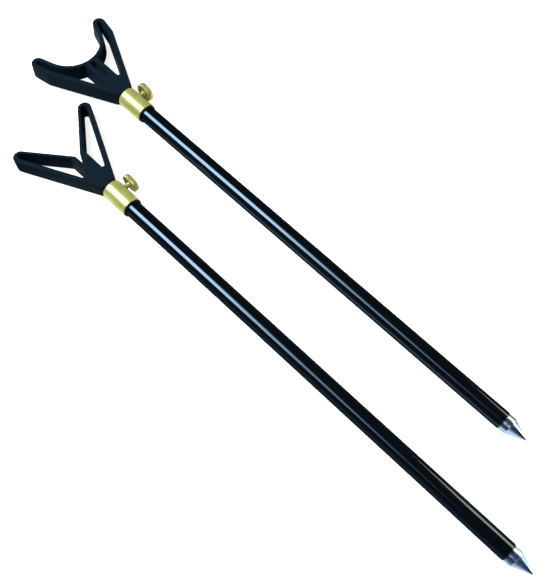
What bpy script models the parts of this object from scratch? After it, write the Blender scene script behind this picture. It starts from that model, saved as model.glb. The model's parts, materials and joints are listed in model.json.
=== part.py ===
"""A pair of telescopic rod rests: a front rest with a V head and a rear rest with a cradle head.

Both lie as on a table, tubes along Y, heads towards +Y. In each rest's own frame the stick's axis is
Y, its origin is where the axis leaves the collar at the head end, X is across and Z is up.
"""

from math import acos, atan, atan2, cos, pi, radians, sin, sqrt, tan

import bmesh
import bpy
from mathutils import Vector

# Clearances
SEAT_GAP = 0.0003
RUNNING_GAP = 0.00025

# Outer tube
TUBE_DIAMETER = 0.016
TUBE_WALL = 0.0009
TUBE_SHOWING = 0.4187
BEAD_DIAMETER = 0.0186
BEAD_LENGTH = 0.0014
TUBE_IN_COLLAR = 0.014

# Collar
COLLAR_DIAMETER = 0.0192
COLLAR_LENGTH = 0.0281
COLLAR_CHAMFER = 0.0006
COLLAR_HEAD_END_RADIUS = 0.0016

# Ground point
POINT_LENGTH = 0.0226
SHOULDER_DIAMETER = 0.0152
SHOULDER_LENGTH = 0.0070
POINT_TIP_RADIUS = 0.0009
SPIGOT_LENGTH = 0.020
SPIGOT_CHAMFER = 0.0008

# Inner tube, its bush and its socket
INNER_DIAMETER = 0.0127
INNER_WALL = 0.0009
INNER_END_CLEARANCE = 0.0312
BUSH_LENGTH = 0.010
BUSH_PLUG_LENGTH = 0.012
BUSH_CHAMFER = 0.0008
SOCKET_FLANGE = 0.003
SOCKET_LENGTH = 0.018

# Head stud: the plain core of a 3/8 inch thread
STUD_DIAMETER = 0.0087
STUD_IN_SOCKET = 0.0130
STUD_IN_HEAD = 0.0130
STUD_FLANGE_DIAMETER = 0.0112
STUD_FLANGE_LENGTH = 0.0030
STUD_FLANGE_HEIGHT = 0.0070

# Thumbscrew and clamp pad
SCREW_FROM_COLLAR_END = 0.0084
SCREW_DIAMETER = 0.0050
SCREW_CHAMFER = 0.0004
DISC_DIAMETER = 0.0170
DISC_THICKNESS = 0.0040
DISC_OFF_COLLAR = 0.0048
DISC_TEETH = 48
DISC_TOOTH_DEPTH = 0.00030
PAD_THICKNESS = 0.0010

# Both heads
HEAD_DEPTH = 0.0164
HEAD_EDGE_RADIUS = 0.0012
HEAD_BASE_RADIUS = 0.0089
HEAD_BASE_FLARE = 1.1
WINDOW_CORNER = 0.0012

# V head
V_BASE_WIDTH = 0.0145
V_OUTER_TAPER = 0.490
V_NOTCH_HEIGHT = 0.0403
V_NOTCH_TAPER = 0.787
V_SLOT_WIDTH = 0.0047
V_SLOT_BOTTOM = 0.0304
V_KINK_RADIUS = 0.0016
V_TIP_ACROSS = 0.0378
V_TIP_HEIGHT = 0.0781
V_TIP_RADIUS = 0.0065
V_SPINE_WIDTH = 0.0142
V_WINDOW_BOTTOM = 0.0178
V_OUTER_WALL = 0.0050
V_NOTCH_WALL = 0.0028
V_TIP_WALL = 0.0036
V_WINDOW_END_INSET = 0.0010

# Cradle head
CRADLE_BASE_WIDTH = 0.0162
CRADLE_OUTER_TAPER = 0.504
CRADLE_SHOULDER_HEIGHT = 0.0640
CRADLE_SHOULDER_RADIUS = 0.0080
CRADLE_RADIUS = 0.0288
CRADLE_CENTRE_HEIGHT = 0.0805
CRADLE_ARC_END = -18.0
CRADLE_TIP_ACROSS = 0.03735
CRADLE_TIP_HEIGHT = 0.0808
CRADLE_TIP_RADIUS = 0.0063
CRADLE_SPINE_WIDTH = 0.0146
CRADLE_WINDOW_BOTTOM = 0.0185
CRADLE_OUTER_WALL = 0.0050
CRADLE_ARC_WALL = 0.0034
CRADLE_TIP_WALL = 0.0042
CRADLE_WINDOW_SHOULDER_RISE = 0.0010
CRADLE_WINDOW_SHOULDER_RADIUS = 0.0060
POCKET_WIDTH = 0.0050
POCKET_BOTTOM = 0.0270
POCKET_TOP = 0.0480
POCKET_DEPTH = 0.0060

# How the two rests lie
REAR_ACROSS = 0.0758
REAR_AHEAD = 0.0640
REAR_YAW = 0.107
FRONT_ROLL = 0.9
REAR_ROLL = 4.9

# Fineness of the facets
ROUND_STEPS = 40
ARC_SAG = 0.00002

BORE = TUBE_DIAMETER - 2 * TUBE_WALL
INNER_BORE = INNER_DIAMETER - 2 * INNER_WALL
GUIDE_BORE = INNER_DIAMETER + 2 * RUNNING_GAP
COUNTERBORE = TUBE_DIAMETER + 2 * SEAT_GAP
COLLAR_STEP = -COLLAR_LENGTH + TUBE_IN_COLLAR + SEAT_GAP
TUBE_END = -COLLAR_LENGTH - TUBE_SHOWING
INNER_TOP = -SOCKET_FLANGE - SEAT_GAP
INNER_END = TUBE_END + SPIGOT_LENGTH + INNER_END_CLEARANCE + BUSH_LENGTH + SEAT_GAP
PAD_FACE = INNER_DIAMETER / 2 + SEAT_GAP
SCREW_END = PAD_FACE + PAD_THICKNESS + SEAT_GAP
DISC_FACE = COLLAR_DIAMETER / 2 + DISC_OFF_COLLAR
SCREW_HOLE = SCREW_DIAMETER + 2 * SEAT_GAP


def clear_scene():
    for obj in list(bpy.data.objects):
        bpy.data.objects.remove(obj)


def new_collection(name):
    made = bpy.data.collections.new(name)
    bpy.context.scene.collection.children.link(made)
    return made


def principled(name, colour, roughness, metallic):
    """A material of one colour (linear RGB)."""
    made = bpy.data.materials.new(name)
    made.use_nodes = True
    shader = made.node_tree.nodes["Principled BSDF"]
    shader.inputs["Base Color"].default_value = (*colour, 1)
    shader.inputs["Roughness"].default_value = roughness
    shader.inputs["Metallic"].default_value = metallic
    return made


def place(obj, group, parent, location=(0, 0, 0), rotation=(0, 0, 0)):
    group.objects.link(obj)
    obj.parent = parent
    obj.location = location
    obj.rotation_euler = rotation
    return obj


def hide_cutter(obj):
    obj.hide_render = True
    obj.display_type = "WIRE"
    return obj


def cut(obj, cutter, operation="DIFFERENCE"):
    boolean = obj.modifiers.new(cutter.name, "BOOLEAN")
    boolean.operation = operation
    boolean.solver = "EXACT"
    boolean.object = cutter


def turned(name, profile, closed, steps=ROUND_STEPS):
    """A solid of revolution about local Z. The profile is (radius, height), top to bottom outside."""
    mesh = bpy.data.meshes.new(name)
    corners = [(radius, 0, height) for radius, height in profile]
    edges = [(i, i + 1) for i in range(len(corners) - 1)]
    if closed:
        edges.append((len(corners) - 1, 0))
    mesh.from_pydata(corners, edges, [])
    obj = bpy.data.objects.new(name, mesh)
    screw = obj.modifiers.new("turn", "SCREW")
    screw.axis = "Z"
    screw.angle = 2 * pi
    screw.steps = steps
    screw.render_steps = steps
    screw.use_merge_vertices = True
    screw.merge_threshold = 1e-6
    screw.use_smooth_shade = True
    return obj


def ring_profile(outer, inner, low, high):
    return [(outer, high), (outer, low), (inner, low), (inner, high)]


def to_mesh_object(obj, name):
    """The evaluated form of an object as a plain mesh object, its loose caps welded."""
    graph = bpy.context.evaluated_depsgraph_get()
    mesh = bpy.data.meshes.new_from_object(obj.evaluated_get(graph))
    form = bmesh.new()
    form.from_mesh(mesh)
    bmesh.ops.remove_doubles(form, verts=form.verts, dist=1e-7)
    bmesh.ops.recalc_face_normals(form, faces=form.faces)
    form.to_mesh(mesh)
    form.free()
    matrix = obj.matrix_world.copy()
    bpy.data.objects.remove(obj)
    mesh.name = name
    made = bpy.data.objects.new(name, mesh)
    made.matrix_world = matrix
    return made


def flat_plate(name, outline, thickness, edge_radius=0.0):
    """A closed outline (x, y) made solid: thickness along Z, its long edges rounded."""
    curve = bpy.data.curves.new(name, "CURVE")
    curve.dimensions = "2D"
    curve.fill_mode = "BOTH"
    curve.extrude = thickness / 2 - edge_radius
    curve.bevel_depth = edge_radius
    curve.offset = -edge_radius
    curve.bevel_resolution = 2
    spline = curve.splines.new("POLY")
    spline.points.add(len(outline) - 1)
    for point, (x, y) in zip(spline.points, outline):
        point.co = (x, y, 0, 1)
    spline.use_cyclic_u = True
    obj = bpy.data.objects.new(name, curve)
    bpy.context.scene.collection.objects.link(obj)
    bpy.context.view_layer.update()
    return to_mesh_object(obj, name)


def arc(centre, radius, start, end):
    """Points on an arc from angle start to angle end, both included, by the largest sag allowed."""
    steps = max(2, round(abs(end - start) / (2 * acos(1 - ARC_SAG / radius))))
    angles = [start + (end - start) * i / steps for i in range(steps + 1)]
    return [Vector((centre[0] + radius * cos(a), centre[1] + radius * sin(a))) for a in angles]


def angle_of(point, centre):
    return atan2(point[1] - centre[1], point[0] - centre[0])


def tangent_point(centre, radius, outside, side):
    """Where a line from a point outside a circle touches it, on its left (1) or right (-1)."""
    away = Vector(outside) - Vector(centre)
    turn = angle_of(outside, centre) + side * acos(radius / away.length)
    return Vector((centre[0] + radius * cos(turn), centre[1] + radius * sin(turn)))


def rounded(corner, before, after, radius):
    """A corner replaced by the arc that touches both of its sides."""
    corner, before, after = Vector(corner), Vector(before), Vector(after)
    one, other = (before - corner).normalized(), (after - corner).normalized()
    half = one.angle(other) / 2
    centre = corner + (one + other).normalized() * radius / sin(half)
    start = angle_of(corner + one * radius / tan(half), centre)
    end = angle_of(corner + other * radius / tan(half), centre)
    turn = (end - start + pi) % (2 * pi) - pi
    return arc(centre, radius, start, start + turn)


def mirrored(half):
    """A closed outline from its +X half, listed from the base up and over to the middle."""
    return list(half) + [Vector((-p[0], p[1])) for p in reversed(half) if abs(p[0]) > 1e-9]


def offset_taper(taper, wall):
    """How far across a wall of this thickness reaches when its face leans by taper."""
    return wall * sqrt(1 + taper * taper)


def v_outline():
    base = Vector((V_BASE_WIDTH / 2, SEAT_GAP))
    tip = (V_TIP_ACROSS, V_TIP_HEIGHT)
    slot = V_SLOT_WIDTH / 2
    kink = (slot, V_NOTCH_HEIGHT + slot / V_NOTCH_TAPER)
    outer = tangent_point(tip, V_TIP_RADIUS, base, 1)
    inner = tangent_point(tip, V_TIP_RADIUS, kink, -1)
    over_tip = arc(tip, V_TIP_RADIUS, angle_of(outer, tip), angle_of(inner, tip))
    return mirrored(
        [base]
        + over_tip
        + rounded(kink, inner, (slot, V_SLOT_BOTTOM), V_KINK_RADIUS)
        + arc((0, V_SLOT_BOTTOM + slot), slot, 0, -pi / 2)
    )


def v_window():
    spine = V_SPINE_WIDTH / 2
    across_outer = V_BASE_WIDTH / 2 - offset_taper(V_OUTER_TAPER, V_OUTER_WALL)
    across_notch = offset_taper(V_NOTCH_TAPER, V_NOTCH_WALL)
    low_outer = (across_outer + V_OUTER_TAPER * V_WINDOW_BOTTOM, V_WINDOW_BOTTOM)
    low_spine = (spine, V_WINDOW_BOTTOM)
    top_spine = (spine, V_NOTCH_HEIGHT + (spine - across_notch) / V_NOTCH_TAPER)
    tip = (V_TIP_ACROSS - V_WINDOW_END_INSET, V_TIP_HEIGHT)
    end_radius = V_TIP_RADIUS - V_TIP_WALL
    outer = tangent_point(tip, end_radius, low_outer, 1)
    inner = tangent_point(tip, end_radius, top_spine, -1)
    return (
        rounded(low_spine, top_spine, low_outer, WINDOW_CORNER)
        + rounded(low_outer, low_spine, outer, WINDOW_CORNER)
        + arc(tip, end_radius, angle_of(outer, tip), angle_of(inner, tip))
        + rounded(top_spine, inner, low_spine, WINDOW_CORNER)
    )


def cradle_outline():
    base = Vector((CRADLE_BASE_WIDTH / 2, SEAT_GAP))
    shoulder_across = CRADLE_BASE_WIDTH / 2 + CRADLE_OUTER_TAPER * CRADLE_SHOULDER_HEIGHT
    shoulder = (shoulder_across, CRADLE_SHOULDER_HEIGHT)
    tip = (CRADLE_TIP_ACROSS, CRADLE_TIP_HEIGHT)
    centre = (0, CRADLE_CENTRE_HEIGHT)
    arc_end = radians(CRADLE_ARC_END)
    cradle = arc(centre, CRADLE_RADIUS, arc_end, -pi / 2)
    outer = tangent_point(tip, CRADLE_TIP_RADIUS, shoulder, 1)
    inner = tangent_point(tip, CRADLE_TIP_RADIUS, cradle[0], -1)
    return mirrored(
        [base]
        + rounded(shoulder, base, outer, CRADLE_SHOULDER_RADIUS)
        + arc(tip, CRADLE_TIP_RADIUS, angle_of(outer, tip), angle_of(inner, tip))
        + cradle
    )


def cradle_window():
    spine = CRADLE_SPINE_WIDTH / 2
    across_outer = CRADLE_BASE_WIDTH / 2 - offset_taper(CRADLE_OUTER_TAPER, CRADLE_OUTER_WALL)
    low_outer = (across_outer + CRADLE_OUTER_TAPER * CRADLE_WINDOW_BOTTOM, CRADLE_WINDOW_BOTTOM)
    low_spine = (spine, CRADLE_WINDOW_BOTTOM)
    wall_radius = CRADLE_RADIUS + CRADLE_ARC_WALL
    centre = (0, CRADLE_CENTRE_HEIGHT)
    spine_angle = -acos(spine / wall_radius)
    arc_start = radians(CRADLE_ARC_END)
    arc_end = spine_angle + 2 * WINDOW_CORNER / wall_radius
    top_spine = (spine, CRADLE_CENTRE_HEIGHT + wall_radius * sin(spine_angle))
    wall = arc(centre, wall_radius, arc_start, arc_end)
    tip = (CRADLE_TIP_ACROSS, CRADLE_TIP_HEIGHT)
    end_radius = CRADLE_TIP_RADIUS - CRADLE_TIP_WALL
    shoulder_height = CRADLE_SHOULDER_HEIGHT + CRADLE_WINDOW_SHOULDER_RISE
    shoulder = (across_outer + CRADLE_OUTER_TAPER * shoulder_height, shoulder_height)
    outer = tangent_point(tip, end_radius, shoulder, 1)
    inner = tangent_point(tip, end_radius, wall[0], -1)
    return (
        rounded(low_spine, top_spine, low_outer, WINDOW_CORNER)
        + rounded(low_outer, low_spine, shoulder, WINDOW_CORNER)
        + rounded(shoulder, low_outer, outer, CRADLE_WINDOW_SHOULDER_RADIUS)
        + arc(tip, end_radius, angle_of(outer, tip), angle_of(inner, tip))
        + wall
        + rounded(top_spine, wall[-1], low_spine, WINDOW_CORNER)
    )


def along_stick(obj, group, rest):
    """A turned piece on the stick's axis: its local Z runs along the rest's Y."""
    return place(obj, group, rest, rotation=(-pi / 2, 0, 0))


def along_screw(obj, group, rest):
    """A turned piece on the thumbscrew's axis: its local Z runs along the rest's X."""
    return place(obj, group, rest, (0, -SCREW_FROM_COLLAR_END, 0), (0, pi / 2, 0))


def outer_tube(name):
    radius = TUBE_DIAMETER / 2
    bead = BEAD_DIAMETER / 2
    bead_edge = BEAD_LENGTH / 4
    top = -COLLAR_LENGTH + TUBE_IN_COLLAR
    bead_top = -COLLAR_LENGTH - SEAT_GAP
    bead_low = bead_top - BEAD_LENGTH
    profile = [
        (radius, top),
        (radius, bead_top),
        (bead - bead_edge, bead_top),
        (bead, bead_top - bead_edge),
        (bead, bead_low + bead_edge),
        (bead - bead_edge, bead_low),
        (radius, bead_low),
        (radius, TUBE_END),
        (BORE / 2, TUBE_END),
        (BORE / 2, top),
    ]
    return turned(name, profile, closed=True)


def ground_point(name):
    spigot = BORE / 2 - SEAT_GAP
    shoulder = SHOULDER_DIAMETER / 2
    shoulder_top = TUBE_END - SEAT_GAP
    shoulder_low = TUBE_END - SHOULDER_LENGTH
    tip = (0, TUBE_END - POINT_LENGTH + POINT_TIP_RADIUS)
    touch = tangent_point(tip, POINT_TIP_RADIUS, (shoulder, shoulder_low), -1)
    profile = [
        (0, shoulder_top + SPIGOT_LENGTH),
        (spigot - SPIGOT_CHAMFER, shoulder_top + SPIGOT_LENGTH),
        (spigot, shoulder_top + SPIGOT_LENGTH - SPIGOT_CHAMFER),
        (spigot, shoulder_top),
        (shoulder, shoulder_top),
        (shoulder, shoulder_low),
    ]
    over_tip = arc(tip, POINT_TIP_RADIUS, angle_of(touch, tip), -pi / 2)
    profile += [(point[0], point[1]) for point in over_tip[:-1]]
    profile.append((0, tip[1] - POINT_TIP_RADIUS))
    return turned(name, profile, closed=False)


def collar(name, group, cutters, rest):
    """A bored ring, rounded where it meets the head, with a hole for the thumbscrew."""
    radius = COLLAR_DIAMETER / 2
    corner = (radius - COLLAR_HEAD_END_RADIUS, -COLLAR_HEAD_END_RADIUS)
    rounding = arc(corner, COLLAR_HEAD_END_RADIUS, pi / 2, 0)
    profile = [(point[0], point[1]) for point in rounding]
    profile += [
        (radius, -COLLAR_LENGTH + COLLAR_CHAMFER),
        (radius - COLLAR_CHAMFER, -COLLAR_LENGTH),
        (COUNTERBORE / 2, -COLLAR_LENGTH),
        (COUNTERBORE / 2, COLLAR_STEP),
        (GUIDE_BORE / 2, COLLAR_STEP),
        (GUIDE_BORE / 2, 0),
    ]
    obj = along_stick(turned(name, profile, closed=True), group, rest)
    hole = SCREW_HOLE / 2
    drill = [(0, COLLAR_DIAMETER), (hole, COLLAR_DIAMETER), (hole, 0), (0, 0)]
    drill_cutter = hide_cutter(turned(name + "_screw_hole", drill, closed=False, steps=24))
    along_screw(drill_cutter, cutters, rest)
    cut(obj, drill_cutter)
    return obj


def inner_tube(name):
    return turned(
        name, ring_profile(INNER_DIAMETER / 2, INNER_BORE / 2, INNER_END, INNER_TOP), closed=True
    )


def guide_bush(name):
    plug = INNER_BORE / 2 - SEAT_GAP
    head = BORE / 2 - RUNNING_GAP
    shoulder = INNER_END - SEAT_GAP
    profile = [
        (0, INNER_END + BUSH_PLUG_LENGTH),
        (plug, INNER_END + BUSH_PLUG_LENGTH),
        (plug, shoulder),
        (head, shoulder),
        (head, shoulder - BUSH_LENGTH + BUSH_CHAMFER),
        (head - BUSH_CHAMFER, shoulder - BUSH_LENGTH),
        (0, shoulder - BUSH_LENGTH),
    ]
    return turned(name, profile, closed=False, steps=32)


def head_socket(name):
    flange = INNER_DIAMETER / 2
    spigot = INNER_BORE / 2 - SEAT_GAP
    thread = STUD_DIAMETER / 2 + SEAT_GAP
    profile = [
        (flange, 0),
        (flange, -SOCKET_FLANGE),
        (spigot, -SOCKET_FLANGE),
        (spigot, -SOCKET_LENGTH),
        (thread, -SOCKET_LENGTH),
        (thread, 0),
    ]
    return turned(name, profile, closed=True, steps=32)


def stud_profile(clearance, low):
    """The head stud with its anchoring flange, grown all round by a clearance."""
    radius = STUD_DIAMETER / 2 + clearance
    flange = STUD_FLANGE_DIAMETER / 2 + clearance
    top = STUD_IN_HEAD + clearance
    flange_top = STUD_FLANGE_HEIGHT + STUD_FLANGE_LENGTH + clearance
    flange_low = STUD_FLANGE_HEIGHT - clearance
    return [
        (0, top),
        (radius, top),
        (radius, flange_top),
        (flange, flange_top),
        (flange, flange_low),
        (radius, flange_low),
        (radius, low),
        (0, low),
    ]


def head_stud(name):
    return turned(name, stud_profile(0, -STUD_IN_SOCKET), closed=False, steps=32)


def clamp_pad(name):
    radius = SCREW_DIAMETER / 2
    top = PAD_FACE + PAD_THICKNESS
    return turned(name, [(0, top), (radius, top), (radius, PAD_FACE), (0, PAD_FACE)], False, 24)


def thumbscrew(name, group, cutters, rest):
    """A turned shank and disc, its rim cut to straight teeth by a toothed prism."""
    shank = SCREW_DIAMETER / 2
    rim = DISC_DIAMETER / 2 + DISC_TOOTH_DEPTH
    chamfer = 2 * DISC_TOOTH_DEPTH
    face = DISC_FACE + DISC_THICKNESS
    profile = [
        (0, face),
        (rim - 2 * chamfer, face),
        (rim, face - chamfer),
        (rim, DISC_FACE + chamfer),
        (rim - 2 * chamfer, DISC_FACE),
        (shank, DISC_FACE),
        (shank, SCREW_END + SCREW_CHAMFER),
        (shank - SCREW_CHAMFER, SCREW_END),
        (0, SCREW_END),
    ]
    obj = along_screw(turned(name, profile, closed=False), group, rest)
    outline = []
    for i in range(2 * DISC_TEETH):
        turn = pi * i / DISC_TEETH
        radius = DISC_DIAMETER / 2 - DISC_TOOTH_DEPTH * (i % 2)
        outline.append((radius * cos(turn), radius * sin(turn)))
    teeth = hide_cutter(flat_plate(name + "_teeth", outline, 4 * face))
    along_screw(teeth, cutters, rest)
    cut(obj, teeth, "INTERSECT")
    return obj


def head(name, outline, window, group, cutters, rest):
    """One moulding: a deep plate of the outline, rounded at its base, with a window in each horn."""
    obj = place(flat_plate(name, outline, HEAD_DEPTH, HEAD_EDGE_RADIUS), group, rest)
    reach = max(point[1] for point in outline) + HEAD_DEPTH
    wide = max(point[0] for point in outline) + HEAD_DEPTH
    flare_top = SEAT_GAP + (wide - HEAD_BASE_RADIUS) / HEAD_BASE_FLARE
    turned_base = [
        (0, reach),
        (wide, reach),
        (wide, min(flare_top, reach - HEAD_DEPTH / 2)),
        (HEAD_BASE_RADIUS, SEAT_GAP),
        (0, SEAT_GAP),
    ]
    base = hide_cutter(turned(name + "_base", turned_base, closed=False))
    along_stick(base, cutters, rest)
    cut(obj, base, "INTERSECT")
    for side, points in (("left", [(-x, y) for x, y in window]), ("right", window)):
        opening = hide_cutter(flat_plate(name + "_window_" + side, points, 2 * HEAD_DEPTH))
        place(opening, cutters, rest)
        cut(obj, opening)
    socket = stud_profile(SEAT_GAP, -STUD_IN_SOCKET)
    stud_hole = hide_cutter(turned(name + "_stud_hole", socket, closed=False, steps=32))
    along_stick(stud_hole, cutters, rest)
    cut(obj, stud_hole)
    return obj


def cut_spine_pocket(obj, cutters, rest):
    """The narrow recess in the upper face of the cradle head's spine."""
    half = POCKET_WIDTH / 2
    corner = half - SEAT_GAP
    low, high = POCKET_BOTTOM, POCKET_TOP
    corners = [(half, low), (half, high), (-half, high), (-half, low)]
    outline = []
    for i, point in enumerate(corners):
        outline += rounded(point, corners[i - 1], corners[(i + 1) % 4], corner)
    pocket = hide_cutter(flat_plate(obj.name + "_pocket", outline, 2 * POCKET_DEPTH))
    place(pocket, cutters, rest, (0, 0, HEAD_DEPTH / 2))
    cut(obj, pocket)


def resting_pitch(roll, tip_across, tip_height):
    """The small slope at which a stick lies on its tube's far end and its collar or its head."""
    radius = TUBE_DIAMETER / 2
    over_collar = (COLLAR_DIAMETER / 2 - radius) / (-TUBE_END - COLLAR_LENGTH)
    drop = (HEAD_DEPTH / 2 - HEAD_EDGE_RADIUS) * cos(roll) + HEAD_EDGE_RADIUS
    drop += (tip_across - HEAD_EDGE_RADIUS) * sin(roll)
    over_head = (drop - radius) / (tip_height - TUBE_END)
    return atan(max(over_collar, over_head))


def new_rest(name, group, pair, place_at, yaw, roll, pitch):
    """The frame of one rest, lying with its tube's far end on the ground."""
    rest = bpy.data.objects.new(name, None)
    rest.empty_display_size = 0.02
    group.objects.link(rest)
    rest.parent = pair
    rest.rotation_mode = "YXZ"
    rest.rotation_euler = (pitch, roll, yaw)
    height = TUBE_DIAMETER / 2 * cos(pitch) - TUBE_END * sin(pitch)
    rest.location = (place_at[0], place_at[1], height)
    return rest


def paint(obj, material):
    obj.data.materials.clear()
    obj.data.materials.append(material)


def build_rest(prefix, group, cutters, rest, outline, window):
    """All the pieces of one rest but the pocket, each painted with its own material."""
    turned_pieces = [
        (outer_tube(prefix + "outer_tube"), (0.010, 0.012, 0.018), 0.12, 0.0),
        (ground_point(prefix + "ground_point"), (0.62, 0.66, 0.72), 0.12, 1.0),
        (inner_tube(prefix + "inner_tube"), (0.70, 0.71, 0.72), 0.22, 1.0),
        (guide_bush(prefix + "guide_bush"), (0.75, 0.74, 0.70), 0.50, 0.0),
        (head_socket(prefix + "head_socket"), (0.80, 0.60, 0.25), 0.30, 1.0),
        (head_stud(prefix + "head_stud"), (0.80, 0.60, 0.25), 0.30, 1.0),
    ]
    for obj, colour, roughness, metallic in turned_pieces:
        along_stick(obj, group, rest)
        paint(obj, principled(obj.name, colour, roughness, metallic))
    pad = along_screw(clamp_pad(prefix + "clamp_pad"), group, rest)
    paint(pad, principled(pad.name, (0.55, 0.55, 0.50), 0.45, 0.0))
    ring = collar(prefix + "collar", group, cutters, rest)
    paint(ring, principled(ring.name, (0.66, 0.62, 0.28), 0.20, 1.0))
    knob = thumbscrew(prefix + "thumbscrew", group, cutters, rest)
    paint(knob, principled(knob.name, (0.50, 0.44, 0.12), 0.28, 1.0))
    rest_head = head(prefix + "head", outline, window, group, cutters, rest)
    paint(rest_head, principled(rest_head.name, (0.012, 0.018, 0.030), 0.35, 0.0))
    return rest_head


def bounds(objects):
    """The lowest and highest corner of the evaluated objects, in world space."""
    graph = bpy.context.evaluated_depsgraph_get()
    corners = []
    for obj in objects:
        if obj.type == "MESH":
            evaluated = obj.evaluated_get(graph)
            mesh = evaluated.to_mesh()
            corners += [evaluated.matrix_world @ vertex.co for vertex in mesh.vertices]
            evaluated.to_mesh_clear()
    low = Vector([min(corner[i] for corner in corners) for i in range(3)])
    high = Vector([max(corner[i] for corner in corners) for i in range(3)])
    return low, high


def centre_on_ground(pair, group):
    """Moves the pair so that the middle of its underside is the world's origin."""
    bpy.context.view_layer.update()
    low, high = bounds(group.objects)
    pair.location = (-(low.x + high.x) / 2, -(low.y + high.y) / 2, -low.z)
    bpy.context.view_layer.update()


def build():
    clear_scene()
    group = new_collection("rod_rests")
    cutters = new_collection("cutters")
    cutters.hide_render = True
    pair = bpy.data.objects.new("pair", None)
    pair.empty_display_size = 0.05
    group.objects.link(pair)

    roll = radians(FRONT_ROLL)
    pitch = resting_pitch(roll, V_TIP_ACROSS + V_TIP_RADIUS, V_TIP_HEIGHT)
    front = new_rest("front_rest", group, pair, (0, 0), 0, roll, pitch)
    build_rest("front_", group, cutters, front, v_outline(), v_window())

    roll = radians(REAR_ROLL)
    pitch = resting_pitch(roll, CRADLE_TIP_ACROSS + CRADLE_TIP_RADIUS, CRADLE_TIP_HEIGHT)
    at = (REAR_ACROSS, REAR_AHEAD)
    rear = new_rest("rear_rest", group, pair, at, radians(REAR_YAW), roll, pitch)
    rear_head = build_rest("rear_", group, cutters, rear, cradle_outline(), cradle_window())
    cut_spine_pocket(rear_head, cutters, rear)

    centre_on_ground(pair, group)


build()
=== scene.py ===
"""The finish of a pair of telescopic rod rests, one with a V head and one with a cradle head.

They lie on a white table as they come out of the bag: black lacquered tubes, brass collars with
knurled thumbscrews, polished steel ground points and moulded black heads. The camera, the table, the
lamps and the room come first, and then the pieces, from the outer tubes to the heads. Every piece is
made in the row frame, in metres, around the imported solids.
"""

import json

import bmesh
import bpy
import numpy as np
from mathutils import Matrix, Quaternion, Vector, geometry


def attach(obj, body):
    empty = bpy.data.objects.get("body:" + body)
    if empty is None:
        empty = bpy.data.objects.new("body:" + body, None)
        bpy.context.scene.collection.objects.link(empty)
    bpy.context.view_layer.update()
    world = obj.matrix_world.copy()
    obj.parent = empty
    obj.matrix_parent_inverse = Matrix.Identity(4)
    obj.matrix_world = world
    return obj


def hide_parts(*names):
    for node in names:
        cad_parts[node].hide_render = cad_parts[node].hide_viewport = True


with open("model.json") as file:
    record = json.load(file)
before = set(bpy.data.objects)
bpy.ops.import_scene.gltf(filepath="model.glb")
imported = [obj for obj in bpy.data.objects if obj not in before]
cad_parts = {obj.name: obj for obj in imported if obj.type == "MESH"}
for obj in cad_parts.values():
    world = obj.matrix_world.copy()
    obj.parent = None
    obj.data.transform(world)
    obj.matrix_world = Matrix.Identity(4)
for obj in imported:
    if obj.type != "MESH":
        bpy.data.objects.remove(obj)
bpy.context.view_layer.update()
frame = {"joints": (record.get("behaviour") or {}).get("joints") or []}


# The photograph's view: the camera stands high beside the front rest, near its point, and looks down
# across both, so that the tubes run from the heads at the upper left to the lower right. Its place
# was worked out from the edges of both tubes.

camera_at = (-0.19798, -0.20068, 0.62991)
camera_elevation = np.radians(66.972)
camera_azimuth = np.radians(-45.906)
camera_data = bpy.data.cameras.new("camera")
camera_data.lens = 48.99
camera_data.sensor_width = 36
camera_data.clip_start = 0.01
camera_back = Vector((
    np.sin(camera_azimuth) * np.cos(camera_elevation),
    -np.cos(camera_azimuth) * np.cos(camera_elevation),
    np.sin(camera_elevation),
))
camera = bpy.data.objects.new("camera", camera_data)
camera.location = camera_at
camera.rotation_euler = camera_back.to_track_quat("Z", "Y").to_euler()
bpy.context.scene.collection.objects.link(camera)
bpy.context.scene.camera = camera


# The table: a plain white matt top under both rests. Its colour is painted light and shade: palest,
# as a painted pool of light, in a broad band under them, wider at the heads, and painted shade beyond
# it for the metal that mirrors it. The camera sees all of it lifted to white, but for a trace of the
# rests' shadow.

table_half = 4.0
table_corners = [(-table_half, -table_half, 0), (table_half, -table_half, 0),
                 (table_half, table_half, 0), (-table_half, table_half, 0)]
table_mesh = bpy.data.meshes.new("table")
table_mesh.from_pydata(table_corners, [], [(0, 1, 2, 3)])
table = bpy.data.objects.new("table", table_mesh)
bpy.context.scene.collection.objects.link(table)


def new_material(name, colour, metallic=0.0, specular=0.5):
    """A material, its tree and its Principled shader, whose plain values are on its own sockets."""
    material = bpy.data.materials.new(name)
    material.use_nodes = True
    tree = material.node_tree
    shader = tree.nodes["Principled BSDF"]
    shader.inputs["Base Color"].default_value = colour
    shader.inputs["Metallic"].default_value = metallic
    shader.inputs["Specular IOR Level"].default_value = specular
    return material, tree, shader


def node(tree, kind, values=None, **settings):
    """A node of a kind, with its properties, and its sockets either linked or set."""
    made = tree.nodes.new(kind)
    for key, value in settings.items():
        setattr(made, key, value)
    for key, value in (values or {}).items():
        if isinstance(value, bpy.types.NodeSocket):
            tree.links.new(value, made.inputs[key])
        else:
            made.inputs[key].default_value = value
    return made


def worked_out(tree, operation, *values):
    """The result of one operation on numbers or sockets."""
    return node(tree, "ShaderNodeMath", dict(enumerate(values)), operation=operation).outputs[0]


def mapped(tree, value, starts=(0, 1), ends=(0, 1), easing="LINEAR"):
    """A value carried from one range to another by its share of the way, and held at both ends."""
    made = node(tree, "ShaderNodeMapRange", {
        "Value": value, "From Min": starts[0], "From Max": starts[1],
        "To Min": ends[0], "To Max": ends[1],
    }, interpolation_type=easing)
    return made.outputs["Result"]


def blended(tree, share, first, second):
    """A colour between two: first times (1 - share), plus second times share."""
    made = node(tree, "ShaderNodeMix", {"Factor": share, "A": first, "B": second}, data_type="RGBA")
    return made.outputs["Result"]


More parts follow.
